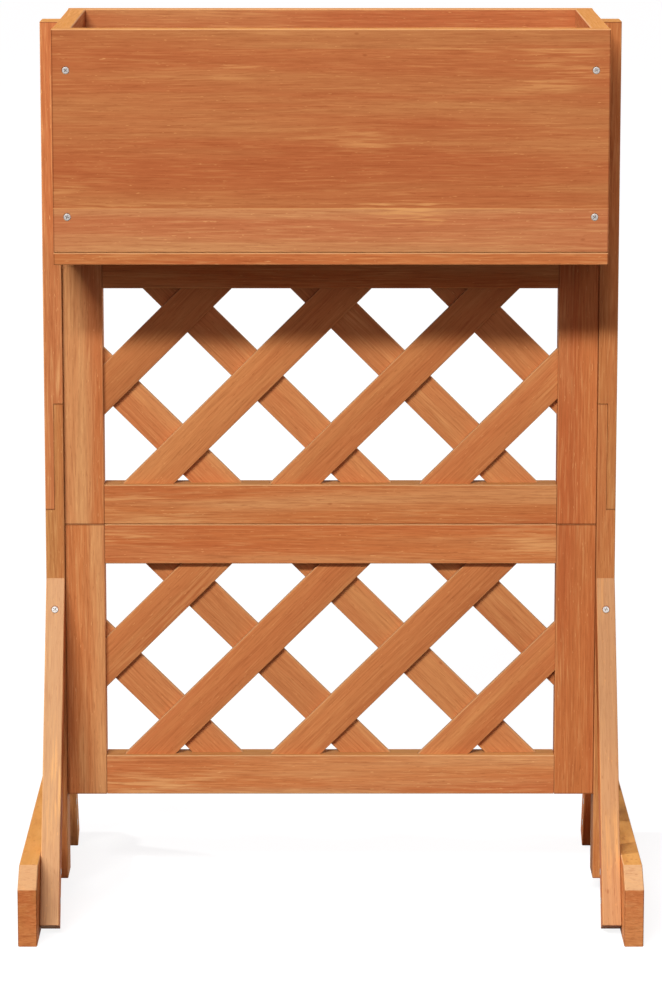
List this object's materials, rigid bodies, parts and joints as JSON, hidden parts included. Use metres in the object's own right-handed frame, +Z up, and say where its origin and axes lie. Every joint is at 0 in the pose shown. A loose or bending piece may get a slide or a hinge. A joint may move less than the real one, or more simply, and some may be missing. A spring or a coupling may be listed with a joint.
{
  "type": "planter with trellis",
  "caption": "Wooden planter box raised on a stand, with diamond trellis panels below the box between lapped posts, diagonal braces and long feet.",
  "frame": {"origin": "on the floor, under the middle of the planter", "axes": "+Z up, +X to the right seen from the front, the front towards -Y"},
  "size_m": [0.6036, 0.388, 0.88],
  "materials": {
    "box_wood": "brown stained",
    "post_wood": "brown stained",
    "frame_wood": "brown stained",
    "slat_wood": "brown stained",
    "base_wood": "brown stained",
    "screw_steel": "bright zinc"
  },
  "bodies": {
    "root": {"back_board": "box_wood", "back_screw_left_lower": "screw_steel", "back_screw_left_upper": "screw_steel", "back_screw_right_lower": "screw_steel", "back_screw_right_upper": "screw_steel", "brace_back_left": "base_wood", "brace_back_right": "base_wood", "brace_front_left": "base_wood", "brace_front_right": "base_wood", "brace_screw_back_left": "screw_steel", "brace_screw_back_right": "screw_steel", "brace_screw_front_left": "screw_steel", "brace_screw_front_right": "screw_steel", "floor_board_1": "box_wood", "floor_board_2": "box_wood", "floor_board_3": "box_wood", "foot_left": "base_wood", "foot_right": "base_wood", "foot_screw_left_lower": "screw_steel", "foot_screw_left_upper": "screw_steel", "foot_screw_right_lower": "screw_steel", "foot_screw_right_upper": "screw_steel", "front_board": "box_wood", "front_screw_left_lower": "screw_steel", "front_screw_left_upper": "screw_steel", "front_screw_right_lower": "screw_steel", "front_screw_right_upper": "screw_steel", "lap_screw_left": "screw_steel", "lap_screw_right": "screw_steel", "lower_rail_bottom": "frame_wood", "lower_rail_top": "frame_wood", "lower_slat_back_1": "slat_wood", "lower_slat_back_2": "slat_wood", "lower_slat_back_3": "slat_wood", "lower_slat_back_4": "slat_wood", "lower_slat_front_1": "slat_wood", "lower_slat_front_2": "slat_wood", "lower_slat_front_3": "slat_wood", "lower_slat_front_4": "slat_wood", "lower_stile_left": "frame_wood", "lower_stile_right": "frame_wood", "post_lower_left": "post_wood", "post_lower_right": "post_wood", "post_upper_left": "post_wood", "post_upper_right": "post_wood", "side_board_left": "box_wood", "side_board_right": "box_wood", "upper_rail_bottom": "frame_wood", "upper_rail_top": "frame_wood", "upper_slat_back_1": "slat_wood", "upper_slat_back_2": "slat_wood", "upper_slat_back_3": "slat_wood", "upper_slat_back_4": "slat_wood", "upper_slat_front_1": "slat_wood", "upper_slat_front_2": "slat_wood", "upper_slat_front_3": "slat_wood", "upper_slat_front_4": "slat_wood", "upper_stile_left": "frame_wood", "upper_stile_right": "frame_wood"}
  },
  "joints": []
}
